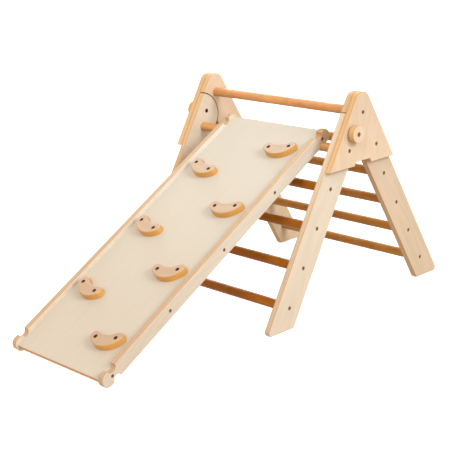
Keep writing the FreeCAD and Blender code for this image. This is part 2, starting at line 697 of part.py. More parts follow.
def make_frame():
    for side in ("left", "right"):
        make_rear_leg(side)
        make_front_leg(side)
        make_side_plate(side)
        make_knob(side)
    make_rung("handrail", 0, 1, INNER)
    for number in range(1, RUNGS + 1):
        make_rung(f"rear_rung_{number}", number, 1, INNER)
        make_rung(f"front_rung_{number}", number, -1, FRONT_INNER)
    through_ply = f"{PLY} - {size('head_recess')} + {size('screw_bite')}"
    through_plate = f"{through_ply} + {PLY}"
    rows = range(2, RUNGS + 1)
    side_screws("plate_screws", [rung_spot(0, 1), rung_spot(1, 1)], PLATE_OUTER, through_plate)
    side_screws("pivot_bolts", [rung_spot(1, -1)], PLATE_OUTER, f"{through_plate} + {size('layer_gap')}")
    side_screws("rear_rung_screws", [rung_spot(n, 1) for n in rows], HALF_WIDTH, through_ply)
    side_screws("front_rung_screws", [rung_spot(n, -1) for n in rows], FRONT_OUTER, through_ply)


def make_ramp():
    for side in ("left", "right"):
        make_ramp_rail(side)
    make_ramp_panel()
    for number in range(HOLDS):
        make_hold(number)
    make_ramp_screws()


def is_node(item):
    """A sub-part is a body, or a solid that no other solid is made from."""
    if item.TypeId == "PartDesign::Body":
        return True
    return item.TypeId.startswith("Part::") and not item.InList


def export_nodes():
    for item in doc.Objects:
        if {"Invalid", "Error"} & set(item.State):
            raise RuntimeError(f"{item.Label}: {item.State}")
    nodes = [item for item in doc.Objects if is_node(item)]
    for node in nodes:
        if node.Shape.isNull() or not node.Shape.isValid():
            raise RuntimeError(f"{node.Label} has no valid shape")
    os.makedirs("parts", exist_ok=True)
    for node in nodes:
        node.Shape.exportStep(f"parts/{node.Label}.step")


make_frame()
make_ramp()
doc.recompute()
export_nodes()
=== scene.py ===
"""Folding climbing frame with a hook-on climbing ramp: the finish of every piece.

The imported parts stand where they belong.  This file gives each of them its timber or its
metal, models the screws, bolts, washers and inserts in full, and sets them in a plain studio.
"""

import json
import math

import bpy
import bmesh
from mathutils import Matrix, Vector

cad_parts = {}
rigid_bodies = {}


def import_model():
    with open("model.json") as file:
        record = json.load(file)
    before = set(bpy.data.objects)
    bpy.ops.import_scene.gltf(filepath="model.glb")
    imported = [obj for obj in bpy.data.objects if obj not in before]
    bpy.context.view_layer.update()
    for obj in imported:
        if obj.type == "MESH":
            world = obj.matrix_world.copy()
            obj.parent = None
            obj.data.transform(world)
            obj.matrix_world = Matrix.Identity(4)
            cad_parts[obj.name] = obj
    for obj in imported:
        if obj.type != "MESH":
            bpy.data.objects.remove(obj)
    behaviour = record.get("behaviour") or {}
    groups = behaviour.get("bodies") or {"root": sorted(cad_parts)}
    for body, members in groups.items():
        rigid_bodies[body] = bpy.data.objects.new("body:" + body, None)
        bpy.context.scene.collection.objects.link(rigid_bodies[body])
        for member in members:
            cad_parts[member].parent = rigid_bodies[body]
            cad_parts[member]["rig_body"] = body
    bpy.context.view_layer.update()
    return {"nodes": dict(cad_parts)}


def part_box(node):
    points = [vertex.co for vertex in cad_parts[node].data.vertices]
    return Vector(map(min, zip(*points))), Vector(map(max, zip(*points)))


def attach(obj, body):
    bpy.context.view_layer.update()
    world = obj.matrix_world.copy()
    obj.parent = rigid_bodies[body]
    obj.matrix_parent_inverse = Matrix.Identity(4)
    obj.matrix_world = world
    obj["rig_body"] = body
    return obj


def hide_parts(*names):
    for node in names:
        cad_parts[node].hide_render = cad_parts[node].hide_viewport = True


bl_info = {
    "name": "Climbing frame finish",
    "version": (1, 0, 0),
    "blender": (4, 5, 0),
    "location": "3D View > Sidebar > Climbing frame",
    "description": "Timber, hardware and studio for a folding climbing frame with a ramp",
    "category": "Object",
}

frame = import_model()

SIDES = ("left", "right")
MM = 0.001
CLOSE = MM / 100  # two places closer than this are the same
ACROSS = Vector((1, 0, 0))
ALONG = Vector((0, 1, 0))
UP = Vector((0, 0, 1))


# ---------------------------------------------------------------- measures of the frame

def sign(side):
    """Which way a side piece faces outwards along X."""
    return 1 if side == "right" else -1


def middle(node):
    """The middle of a node's box."""
    low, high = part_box(node)
    return (low + high) / 2


def size_of(node):
    """How far a node's box reaches along X, Y and Z."""
    low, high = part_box(node)
    return high - low


def numbered(prefix):
    """The nodes prefix_1, prefix_2 and so on."""
    return sorted(name for name in frame["nodes"] if name.rstrip("0123456789") == f"{prefix}_")


def reach(node, direction):
    """How far a node lies along a direction: its nearest and its farthest point."""
    reaches = [vertex.co.dot(direction) for vertex in frame["nodes"][node].data.vertices]
    return min(reaches), max(reaches)


HANDRAIL = middle("handrail")
DOWN_FRONT = (middle("front_rung_5") - HANDRAIL).normalized()
DOWN_REAR = (middle("rear_rung_5") - HANDRAIL).normalized()
UP_RAMP = (middle("hold_1") - middle("hold_7")).normalized()
OFF_RAMP = ACROSS.cross(UP_RAMP)
HEAD_AXIS = {"hold_screws": OFF_RAMP}


def solids_of(node):
    """The separate solids of a node, each as a list of its points."""
    mesh = bmesh.new()
    mesh.from_mesh(frame["nodes"][node].data)
    bmesh.ops.remove_doubles(mesh, verts=mesh.verts, dist=CLOSE)
    left = set(mesh.verts)
    solids = []
    while left:
        edge = [left.pop()]
        found = list(edge)
        while edge:
            vertex = edge.pop()
            for link in vertex.link_edges:
                other = link.other_vert(vertex)
                if other in left:
                    left.remove(other)
                    found.append(other)
                    edge.append(other)
        solids.append([vertex.co.copy() for vertex in found])
    mesh.free()
    return solids


def head_tops(node):
    """Where each screw of a node has the middle of its head's top, and which way it faces."""
    spots = []
    for points in solids_of(node):
        centre = sum(points, Vector()) / len(points)
        axis = HEAD_AXIS.get(node, ACROSS if centre.x > 0 else -ACROSS)
        top = max(point.dot(axis) for point in points)
        rim = [point for point in points if point.dot(axis) > top - MM / 10]
        low = Vector(min(point[n] for point in rim) for n in range(3))
        high = Vector(max(point[n] for point in rim) for n in range(3))
        spots.append(((low + high) / 2, axis))
    return sorted(spots, key=lambda spot: tuple(round(c, 4) for c in spot[0]))


SCREWS = (
    "plate_screws", "pivot_bolts", "rear_rung_screws", "front_rung_screws", "ramp_rail_screws",
    "hold_screws")
HEADS = {node: head_tops(node) for node in SCREWS}


def screws_in(node):
    """The screws whose heads are sunk into a node, as the middles of their tops."""
    low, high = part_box(node)
    spots = [spot for heads in HEADS.values() for spot, axis in heads]
    return [spot for spot in spots if all(low[n] - MM < spot[n] < high[n] + MM for n in range(3))]


# ---------------------------------------------------------------- settings

class TimberSettings(bpy.types.PropertyGroup):
    """Colours and sizes of the timber."""

    face: bpy.props.FloatVectorProperty(
        name="Face veneer", description="Outer veneer of the birch plywood",
        subtype="COLOR", size=3, min=0, max=1, default=(0.612, 0.453, 0.307))
    core: bpy.props.FloatVectorProperty(
        name="Core veneer", description="Long grain of the inner veneers, seen on sawn edges",
        subtype="COLOR", size=3, min=0, max=1, default=(0.592, 0.443, 0.293))
    end_grain: bpy.props.FloatVectorProperty(
        name="End grain", description="Cross veneers, whose ends show on sawn edges",
        subtype="COLOR", size=3, min=0, max=1, default=(0.530, 0.266, 0.085))
    veneer: bpy.props.FloatProperty(
        name="Veneer", description="Thickness of one inner veneer of the plywood",
        subtype="DISTANCE", unit="LENGTH", min=0.0005, max=0.005, default=0.00138)
    skin: bpy.props.FloatProperty(
        name="Face veneer depth", description="How much is left of the outer veneer after sanding",
        subtype="DISTANCE", unit="LENGTH", min=0.0001, max=0.002, default=0.00035)
    panel: bpy.props.FloatVectorProperty(
        name="Ramp panel", description="Pale lacquer of the ramp's panel",
        subtype="COLOR", size=3, min=0, max=1, default=(0.520, 0.468, 0.384))
    hold: bpy.props.FloatVectorProperty(
        name="Hold veneer", description="Face veneer of the climbing holds",
        subtype="COLOR", size=3, min=0, max=1, default=(0.495, 0.364, 0.248))
    hold_skin: bpy.props.FloatProperty(
        name="Hold veneer depth",
        description="How far the pale face of a hold reaches over its rounding",
        subtype="DISTANCE", unit="LENGTH", min=0.0001, max=0.003, default=0.001)
    hold_core: bpy.props.FloatVectorProperty(
        name="Hold core", description="Sawn edge of the climbing holds",
        subtype="COLOR", size=3, min=0, max=1, default=(0.663, 0.318, 0.056))
    beech: bpy.props.FloatVectorProperty(
        name="Beech", description="Oiled beech of the rungs",
        subtype="COLOR", size=3, min=0, max=1, default=(0.479, 0.172, 0.043))


class HardwareSettings(bpy.types.PropertyGroup):
    """Finish and shape of the metal pieces."""

    bronze: bpy.props.FloatVectorProperty(
        name="Bronzed steel", description="Colour of the screws and bolts",
        subtype="COLOR", size=3, min=0, max=1, default=(0.21, 0.12, 0.058))
    black: bpy.props.FloatVectorProperty(
        name="Blackened steel",
        description="Colour of the holds' screws and of the threaded inserts",
        subtype="COLOR", size=3, min=0, max=1, default=(0.05, 0.04, 0.03))
    zinc: bpy.props.FloatVectorProperty(
        name="Zinc", description="Colour of the washers under the knobs",
        subtype="COLOR", size=3, min=0, max=1, default=(0.55, 0.53, 0.48))
    head_round: bpy.props.FloatProperty(
        name="Head rounding", description="Rounding of a screw head's rim",
        subtype="DISTANCE", unit="LENGTH", min=0.0001, max=0.002, default=0.0009)
    thread_pitch: bpy.props.FloatProperty(
        name="Thread pitch", description="Distance between two turns of a bolt's thread",
        subtype="DISTANCE", unit="LENGTH", min=0.0005, max=0.003, default=0.00125)


class StageSettings(bpy.types.PropertyGroup):
    """The studio round the object."""

    floor: bpy.props.FloatVectorProperty(
        name="Floor", description="Colour of the floor and the backdrop",
        subtype="COLOR", size=3, min=0, max=1, default=(0.9, 0.9, 0.9))
    glow: bpy.props.FloatProperty(
        name="Floor glow", description="Light of the floor itself, which keeps the shadows pale",
        min=0, default=0.5)
    key: bpy.props.FloatProperty(
        name="Key light", description="Strength of the broad light from the right",
        min=0, default=1.95)
    fill: bpy.props.FloatProperty(
        name="Fill light", description="Strength of the broad light in front",
        min=0, default=1.3)
    back: bpy.props.FloatProperty(
        name="Back light", description="Strength of the broad light from the left and behind",
        min=0, default=1.0)
    lamp: bpy.props.FloatVectorProperty(
        name="Lamp colour",
        description="Colour of the three lights, a little cooler than the room",
        subtype="COLOR", size=3, min=0, max=2, default=(0.95, 1.04, 1.14))
    spread: bpy.props.FloatProperty(
        name="Spread", description="Angle that each light fills; wider gives softer shadows",
        subtype="ANGLE", min=0, max=3, default=math.radians(22))
    ceiling: bpy.props.FloatVectorProperty(
        name="Room light from above",
        description="Colour and strength of the light from the upper half",
        subtype="COLOR", size=3, min=0, max=2, default=(1.04, 0.95, 0.85))
    ground: bpy.props.FloatVectorProperty(
        name="Room light from below",
        description="Colour and strength of the light from the lower half",
        subtype="COLOR", size=3, min=0, default=(0.72, 0.62, 0.51))
    focal_length: bpy.props.FloatProperty(
        name="Focal length", description="Lens of the camera on a 36 mm sensor",
        subtype="DISTANCE_CAMERA", min=10, default=93.86)


def timber():
    """The timber's settings, as the sidebar shows them."""
    return bpy.context.scene.climbing_frame_timber


def hardware():
    """The metal pieces' settings."""
    return bpy.context.scene.climbing_frame_hardware


def studio():
    """The studio's settings."""
    return bpy.context.scene.climbing_frame_stage


# ---------------------------------------------------------------- shader maths

class Wire:
    """An output socket that can be used in an expression."""

    def __init__(self, shade, socket):
        self.shade = shade
        self.socket = socket

    def maths(self, operation, *others, first=None):
        """A Math node on this wire and others, or on another number first."""
        inputs = [self, *others] if first is None else [first, self]
        return self.shade.node("ShaderNodeMath", {"operation": operation}, dict(enumerate(inputs)))

    def __add__(self, other):
        return self.maths("ADD", other)

    def __radd__(self, other):
        return self.maths("ADD", first=other)

    def __sub__(self, other):
        return self.maths("SUBTRACT", other)

    def __rsub__(self, other):
        return self.maths("SUBTRACT", first=other)

    def __mul__(self, other):
        return self.maths("MULTIPLY", other)

    def __rmul__(self, other):
        return self.maths("MULTIPLY", first=other)

    def __truediv__(self, other):
        return self.maths("DIVIDE", other)

    def __mod__(self, other):
        return self.maths("MODULO", other)

    def __lt__(self, other):
        return self.maths("LESS_THAN", other)

    def __gt__(self, other):
        return self.maths("GREATER_THAN", other)

    def floor(self):
        return self.maths("FLOOR")

    def sine(self):
        return self.maths("SINE")

    def least(self, other):
        """The lesser of this and another."""
        return self.maths("MINIMUM", other)

    def rise(self, low, high):
        """0 at low, 1 at high and smooth in between, held outside them; low may be the larger."""
        values = {"Value": self, "From Min": low, "From Max": high}
        return self.shade.node("ShaderNodeMapRange", {"interpolation_type": "SMOOTHSTEP"}, values)


class Shade:
    """A material, or a world, whose nodes are written as expressions."""

    def __init__(self, owner, output="ShaderNodeOutputMaterial"):
        self.owner = owner
        owner.use_nodes = True
        self.tree = owner.node_tree
        self.tree.nodes.clear()
        self.output = self.tree.nodes.new(output)

    @classmethod
    def named(cls, name):
        """A new material with no nodes but its output."""
        return cls(bpy.data.materials.new(name))

    def node(self, kind, setup=None, values=None, output=0):
        """A node of a type: its settings first, then its sockets' values or links."""
        made = self.tree.nodes.new(kind)
        for name, setting in (setup or {}).items():
            setattr(made, name, setting)
        for key, given in (values or {}).items():
            socket = made.inputs[key]
            if isinstance(given, Wire):
                self.tree.links.new(given.socket, socket)
            else:
                socket.default_value = given
        return Wire(self, made.outputs[output])

    def along(self, direction, start=0.0):
        """How far the surface lies along a direction of the object's own space, in millimetres."""
        place = self.node("ShaderNodeTexCoord", output="Object")
        values = {0: place, 1: direction / MM}
        length = self.node("ShaderNodeVectorMath", {"operation": "DOT_PRODUCT"}, values, "Value")
        return length - start / MM

    def places(self):
        """How far the surface lies along X, Y and Z, in millimetres."""
        return [self.along(axis) for axis in (ACROSS, ALONG, UP)]

    def vector(self, x, y, z):
        """Three numbers as one vector."""
        return self.node("ShaderNodeCombineXYZ", values={0: x, 1: y, 2: z})

    def noise(self, x, y, z, detail=2.0, roughness=0.5):
        """Soft random clouds between 0 and 1, one unit across or so."""
        values = {
            "Vector": self.vector(x, y, z), "Scale": 1.0, "Detail": detail, "Roughness": roughness}
        return self.node("ShaderNodeTexNoise", values=values)

    def cells(self, x, y, z):
        """Distance to the nearest of many scattered points, one unit apart or so."""
        values = {"Vector": self.vector(x, y, z), "Scale": 1.0}
        return self.node("ShaderNodeTexVoronoi", values=values)

    def mix(self, factor, first, second, blend="MIX"):
        """Two colours mixed; at 0 it is the first."""
        setup = {"data_type": "RGBA", "blend_type": blend}
        first, second = (
            colour if isinstance(colour, Wire) else (*colour, 1.0) for colour in (first, second))
        return self.node("ShaderNodeMix", setup, {0: factor, 6: first, 7: second}, 2)

    def blend(self, factor, first, second):
        """Two numbers mixed; at 0 it is the first."""
        return (second - first) * factor + first

    def bump(self, height, distance):
        """Relief of a height between 0 and 1, with its depth in metres."""
        values = {"Height": height, "Distance": distance, "Strength": 1.0}
        return self.node("ShaderNodeBump", values=values)

    def surface(self, **values):
        """The finished surface; a name is its socket's, with _ for a space."""
        values = {name.replace("_", " "): value for name, value in values.items()}
        shader = self.node("ShaderNodeBsdfPrincipled", values=values, output="BSDF")
        self.tree.links.new(shader.socket, self.output.inputs["Surface"])
        return self.owner


def shaded(colour, brightness):
    """A plain colour made lighter or darker."""
    return tuple(min(1.0, channel * brightness) for channel in colour)


def tinted(colour, tint):
    """A plain colour with each of its channels scaled."""
    return tuple(min(1.0, channel * part) for channel, part in zip(colour, tint))


# ---------------------------------------------------------------- materials

PLAIN = (1, 1, 1)
PLATE_SHEET = ((0.90, 0.915, 0.93), (1.0, 0.92, 0.76), (1.09, 1.07, 1.05), PLAIN, 0.85)

# The boards come from several sheets.  Each row has the tints of the face, the core, the low end
# and the high end, and how much end grain shows near the two faces of the sawn edge.  The end
# tints are painted light and shade: each board turns lighter or darker towards its low end, and
# the ramp rails darker at their high ends, where the legs shade the hooks.
SHEETS = {
    # The left rear leg's face is lighter than the right one's: painted light that lifts the shade
    # on its inner face.
    "rear_leg_left": (
        (0.99, 0.99, 1.0), (0.98, 0.96, 0.92), (0.87, 0.86, 0.77), PLAIN, 0.85),
    "rear_leg_right": (
        (0.92, 0.935, 0.985), (0.98, 0.96, 0.92), (0.84, 0.83, 0.75), PLAIN, 0.85),
    "front_leg_left": (
        (0.975, 1.10, 1.24), (1.0, 1.0, 0.92), (0.80, 0.66, 0.52), PLAIN, 0.8),
    "front_leg_right": (
        (0.975, 1.12, 1.28), (1.10, 1.29, 1.50), (0.92, 0.88, 0.84), PLAIN, 0.55),
    "side_plate_left": PLATE_SHEET,
    "side_plate_right": PLATE_SHEET,
    "ramp_rail_left": (
        (1.06, 1.30, 1.62), (0.85, 0.89, 0.95), (0.90, 0.82, 0.74), (0.98, 0.90, 0.78), 0.0),
    "ramp_rail_right": (
        (0.97, 1.14, 1.36), (0.85, 0.90, 0.96), (0.87, 0.81, 0.75), (0.96, 0.75, 0.56), 0.0),
}

# Tints of the core in the ramp's panel and in the knobs, and the painted shade that darkens the
# panel's low end.
PANEL_CORE = (1.0, 0.94, 0.84)
PANEL_LOW_END_SHADE = (0.92, 0.86, 0.81)
KNOB_CORE = (1.0, 0.83, 0.57)

# The rungs' beech in lit and shaded copies of one wood: painted light on the handrail and the first
# front rung, painted shade on the rear rungs, and deeper painted shade on the front rungs under the
# ramp.  Then the paler patches in all of them.
LIT_HANDRAIL_BEECH = (1.09, 1.36, 1.95)
LIT_RUNG_BEECH = (1.02, 1.36, 1.95)
SHADED_REAR_BEECH = (0.81, 0.91, 0.68)
SHADED_UNDER_RAMP_BEECH = (0.69, 0.58, 0.15)
BEECH_PATCH = (1.15, 1.35, 1.7)

# Where the boards' patterns start, so that no two are alike.
PANEL_SEED, HOLD_SEED, KNOB_SEED = 21, 31, 51
PANEL_CONTRAST = 0.12

# How much each channel of the face veneer drops from one climbing hold to the next.
HOLD_FADE = (0.024, 0.04, 0.055)

# Millimetres on the plywood.
SCREW_SHADE = 5.6  # radius of the shade in a screw's bore
SHADE_EDGE = 0.4
SHADE_DEPTH = 10.0  # deeper than every bore, and less than the panel's thickness
RIM_START, RIM_END = 2.2, 4.2  # how deep under a face the sawn edge turns paler
# Where the painted shade at a board's high end starts and where it is full.
HIGH_SHADE_START, HIGH_SHADE_FULL = 46, 26  # from the high end of a board

# Repeats of the figure for each millimetre, along the grain and across it.
FINE_GRAIN = (0.022, 0.9)
BROAD_GRAIN = (0.004, 0.05)
RINGS = (0.0016, 0.0085)
FLECKS = (0.055, 0.62)
RING_COUNT = 75.0

# Depths of relief in metres.
PLY_RELIEF = 0.00012
BEECH_RELIEF = 0.00006
METAL_RELIEF = 0.00002


def plywood(node, grain, normal, colour, seed, contrast=0.5, core=None, low_end_shading=PLAIN,
            high_end_shade=PLAIN, rim=0.8, skin_depth=None):
    """Birch plywood for one board: veneers whose grain turns a quarter from one to the next.

    grain is the way up the board that the face veneer's grain runs, and normal the way out of its
    face.  colour and core are those of the face veneer and of the inner ones, the two end tints
    are painted light and shade at the board's low and high ends, and rim is how much end grain
    shows on its sawn edge near the two faces.  skin_depth is how much of the face veneer is left,
    in millimetres.
    faces.  skin_depth is how much of the face veneer is left, in millimetres.
    """
    back, face = reach(node, normal)
    low, high = (end / MM for end in reach(node, grain))
    side = grain.cross(normal)
    thickness = (face - back) / MM
    veneer = timber().veneer / MM
    layers = max(3, 2 * round(thickness / veneer / 2 - 0.5) + 1)
    veneer = thickness / layers
    skin_depth = skin_depth or timber().skin / MM
    core = core or tuple(timber().core)
    end_grain = tuple(timber().end_grain)

    # The place in the board, shifted by its seed, and in its stack of veneers, where a hair's
    # breadth more keeps the face itself in the first one.
    shade = Shade.named(f"ply_{node}")
    up = shade.along(grain)
    u = up + seed * 61.7
    v = shade.along(side) + seed * 23.9
    deep = face / MM - shade.along(normal)
    depth = deep / veneer + 0.01
    layer = depth.floor()
    turned = layer % 2.0
    sunk = deep.least(thickness - deep)
    outside = sunk < skin_depth
    shift = layer * 7.3 + seed * 3.1

    # The figure of each veneer, which runs the other way in every second one.
    run = shade.blend(turned, u, v)
    cross = shade.blend(turned, v, u)

    def figured(repeats, **settings):
        along, across = repeats
        return shade.noise(run * along, cross * across, shift, **settings)

    fine = figured(FINE_GRAIN, detail=4.0, roughness=0.62)
    broad = figured(BROAD_GRAIN, detail=3.0)
    rings = (figured(RINGS) * RING_COUNT).sine() * 0.5 + 0.5
    figure = fine * 0.42 + broad * 0.43 + rings * 0.15
    pores = shade.noise(u * 1.3, v * 1.3, depth * 1.6, detail=3.0, roughness=0.7)
    flecks = 1 - shade.cells(run * FLECKS[0], cross * FLECKS[1], shift).rise(0.05, 0.17)

    # The face veneer.
    dark, light = shaded(colour, 1 - 0.13 * contrast), shaded(colour, 1 + 0.06 * contrast)
    skin = shade.mix(figure.rise(0.28, 0.72), dark, light)
    skin = shade.mix(flecks * 0.22 * contrast, skin, shaded(colour, 0.55))

    # The sawn edge: long grain, end grain near the faces, and dark lines of glue.
    long_grain = shade.mix(figure.rise(0.3, 0.7), shaded(core, 0.86), shaded(core, 1.08))
    ends = shade.mix(pores.rise(0.3, 0.7), shaded(end_grain, 0.78), shaded(end_grain, 1.2))
    tone = shade.noise(layer * 2.37, seed * 5.9, u * 0.002).rise(0.38, 0.62)
    inside = shade.mix(turned * 0.35 + tone * 0.25, long_grain, ends)
    inside = shade.mix(rim - sunk.rise(RIM_START, RIM_END) * rim, inside, ends)
    glue = 1 - (depth % 1.0).rise(0.05, 0.14)
    inside = shade.mix(glue * 0.5, inside, shaded(end_grain, 0.5))
    wood = shade.mix(outside, inside, skin)

    # Painted light and shade at the two ends: the low end tinted lighter or darker, the high end
    # darker.
    wood = shade.mix(up.rise(high, low), wood, low_end_shading, "MULTIPLY")
    if high_end_shade != PLAIN:
        shaded_tip = up.rise(high - HIGH_SHADE_START, high - HIGH_SHADE_FULL)
        wood = shade.mix(shaded_tip, wood, high_end_shade, "MULTIPLY")

    # Painted shade in the screws' bores.
    bore_shade = 0.0
    for spot in screws_in(node):
        beside = shade.along(grain, spot.dot(grain))
        across = shade.along(side, spot.dot(side))
        away = beside * beside + across * across
        bore_shade = 1 - away.rise(SCREW_SHADE ** 2, (SCREW_SHADE + SHADE_EDGE) ** 2) + bore_shade
    shaded_depth = (deep > SHADE_EDGE) * (deep < SHADE_DEPTH)
    wood = shade.mix(bore_shade * shaded_depth * 0.85, wood, shaded(end_grain, 0.12))

    relief = shade.blend(turned * (1 - outside), figure, pores * 0.8)
    return shade.surface(
        Base_Color=wood,
        Roughness=figure * -0.16 + 0.55 + (1 - outside) * 0.12,
        Normal=shade.bump(relief - glue * (1 - outside) * 0.5, PLY_RELIEF * contrast),
        Specular_IOR_Level=0.3,
        Coat_Weight=0.05,
        Coat_Roughness=0.35)


def beech(name, tint):
    """Oiled beech for the rungs: fine streaks along X, short ray flecks and warm patches."""
    colour = tinted(timber().beech, tint)
    shade = Shade.named(name)
    x, y, z = shade.places()
    streaks = shade.noise(x * 0.012, y * 0.75, z * 0.75, detail=4.0, roughness=0.6)
    broad = shade.noise(x * 0.009, y * 0.09, z * 0.09, detail=2.0)
    stick = shade.noise(3.3, y * 0.013, z * 0.013)
    flecks = 1 - shade.cells(x * 0.24, y * 1.5, z * 1.5).rise(0.12, 0.34)
    pores = shade.noise(x * 0.35, y * 2.6, z * 2.6, detail=2.0)
    figure = streaks * 0.4 + broad * 0.45 + pores * 0.15
    bands = shade.noise(x * 0.035, y * 0.02, z * 0.02, detail=3.0, roughness=0.6)
    wood = shade.mix(figure.rise(0.3, 0.7), shaded(colour, 0.72), shaded(colour, 1.25))
    wood = shade.mix(stick.rise(0.35, 0.65) * 0.3, wood, shaded(colour, 1.3))
    wood = shade.mix(bands.rise(0.42, 0.62) * 0.4, wood, tinted(colour, BEECH_PATCH))
    wood = shade.mix(flecks * 0.35, wood, shaded(colour, 0.5))
    return shade.surface(
        Base_Color=wood,
        Roughness=figure * -0.15 + 0.48,
        Normal=shade.bump(figure - flecks * 0.15, BEECH_RELIEF),
        Specular_IOR_Level=0.1,
        Coat_Weight=0.02,
        Coat_Roughness=0.35)


def metal(name, colour, roughness, wear):
    """Plated steel: darker in soft patches, with small bright scuffs as strong as its wear."""
    shade = Shade.named(name)
    x, y, z = shade.places()
    patches = shade.noise(x * 0.5, y * 0.5, z * 0.5, detail=4.0, roughness=0.65)
    scuffs = shade.noise(x * 2.4, y * 2.4, z * 5.0, detail=3.0, roughness=0.7).rise(0.56, 0.72)
    plated = shade.mix(patches.rise(0.35, 0.65), shaded(colour, 0.62), shaded(colour, 1.15))
    plated = shade.mix(scuffs * wear, plated, shaded(colour, 2.6))
    return shade.surface(
        Base_Color=plated,
        Metallic=1.0,
        Roughness=patches * 0.25 + roughness - scuffs * 0.1,
        Normal=shade.bump(patches * 0.5 + scuffs, METAL_RELIEF))


def floor_material():
    """Matt pale card with a breath of unevenness."""
    colour = tuple(studio().floor)
    shade = Shade.named("studio_floor")
    mottle = shade.noise(shade.along(ACROSS) * 0.004, shade.along(ALONG) * 0.004, 0.0, detail=3.0)
    return shade.surface(
        Base_Color=shade.mix(mottle, shaded(colour, 0.985), shaded(colour, 1.01)),
        Roughness=0.85,
        Emission_Color=(1.0, 1.0, 1.0, 1.0),
        Emission_Strength=studio().glow)


def finish_node(node, material):
    """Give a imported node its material."""
    for slot in frame["nodes"][node].material_slots:
        slot.material = material


# ---------------------------------------------------------------- modelling helpers

SMOOTH_ANGLE = math.radians(35)
FIRST_TURN, NEXT_TURN = 13, 47  # degrees that the copies of a screw are turned by
CORNERS = 48  # of a turned piece
WASHER_CORNERS = 64
THREAD_STEPS = 32  # in one turn
RIDGE = 0.5  # how far a thread's ridge stands out, of its pitch
THREAD_DEPTH = 0.55  # how far its core lies inside, of its pitch
# The ridge's section: out in ridge heights, and up in pitches.
RIDGE_SECTION = ((0, 0.42), (-1.2, 0.46), (-1.2, -0.46), (0, -0.42))
SQUARE = 0.99  # how nearly a face looks along Z
POINT_LENGTH, POINT_TAPER = 0.5, 0.35  # a screw's blunt end, in radii of its shank
SOCKET_RING = 0.25  # round a socket, of its corners' radius
SOCKET_RIM, SOCKET_EASE = 0.12 * MM, 0.15 * MM
CONE_INSET, CONE_DEPTH = 0.3, 0.18  # a socket's bottom, of its corners' radius and its depth
PIN_RING = 0.3  # inside a pin's chamfer, of its radius


def deselect():
    """Leave edit mode, with nothing selected."""
    if bpy.context.object and bpy.context.object.mode != "OBJECT":
        bpy.ops.object.mode_set(mode="OBJECT")
    bpy.ops.object.select_all(action="DESELECT")


def choose(piece):
    """Make a piece the only selected and the active one."""
    deselect()
    piece.select_set(True)
    bpy.context.view_layer.objects.active = piece


def settle(piece):
    """Move a piece's place into its mesh, so that the piece itself stands at the origin."""
    piece.data.transform(piece.matrix_world)
    piece.matrix_world = Matrix.Identity(4)


def pick(kind, test):
    """In edit mode, select what passes a test: of a face's middle and normal, or an edge's ends."""
    bpy.ops.mesh.select_all(action="DESELECT")
    bpy.ops.mesh.select_mode(type=kind)
    mesh = bmesh.from_edit_mesh(bpy.context.object.data)
    for item in mesh.faces if kind == "FACE" else mesh.edges:
        if kind == "FACE":
            chosen = test(item.calc_center_median(), item.normal)
        else:
            chosen = test(*(vertex.co for vertex in item.verts))
        item.select_set(chosen)
    mesh.select_flush_mode()
    bmesh.update_edit_mesh(bpy.context.object.data)


def at_height(height):
    """A test for the edges whose both ends lie at a height."""
    return lambda first, second: max(abs(first.z - height), abs(second.z - height)) < CLOSE


def stand(piece, spot, axis, turn=0.0):
    """Move a piece's mesh so that its own +Z points along axis from a spot."""
    facing = axis.to_track_quat("Z", "Y").to_matrix().to_4x4()
    piece.data.transform(Matrix.Translation(spot) @ facing @ Matrix.Rotation(turn, 4, "Z"))
    piece.data.update()


def join(pieces, name):
    """Several pieces made one, under a new name."""
    deselect()
    for piece in pieces:
        piece.select_set(True)
    bpy.context.view_layer.objects.active = pieces[0]
    bpy.ops.object.join()
    pieces[0].name = name
    pieces[0].data.name = name
    return pieces[0]


def copies(template, spots, name):
    """One piece made of copies of a template, each turned further than the last one."""
    made = []
    for number, (spot, axis) in enumerate(spots):
        copy = template.copy()
        copy.data = template.data.copy()
        bpy.context.scene.collection.objects.link(copy)
        stand(copy, spot, axis, turn=math.radians(NEXT_TURN * number + FIRST_TURN))
        made.append(copy)
    bpy.data.objects.remove(template)
    return join(made, name)


def finish_piece(piece, node, material):
    """Let a modelled piece stand for a node, on the node's body."""
    choose(piece)
    bpy.ops.object.shade_smooth_by_angle(angle=SMOOTH_ANGLE)
    piece.data.materials.clear()
    piece.data.materials.append(material)
    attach(piece, frame["nodes"][node]["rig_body"])
    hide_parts(node)


def start_round(radius, low, high, corners=CORNERS):
    """Start a piece in edit mode, as a cylinder round Z from a low to a high end."""
    deselect()
    bpy.ops.mesh.primitive_cylinder_add(
        vertices=corners, radius=radius, depth=high - low, end_fill_type="NGON",
        location=(0, 0, (low + high) / 2))
    piece = bpy.context.object
    settle(piece)
    bpy.ops.object.mode_set(mode="EDIT")
    return piece


def close_round():
    """Turn every face outwards and leave edit mode."""
    bpy.ops.mesh.select_all(action="SELECT")
    bpy.ops.mesh.normals_make_consistent(inside=False)
    bpy.ops.object.mode_set(mode="OBJECT")


def draw_out(height):
    """Extrude the selected faces along Z."""
    bpy.ops.mesh.extrude_region_move(TRANSFORM_OT_translate={"value": (0, 0, height)})


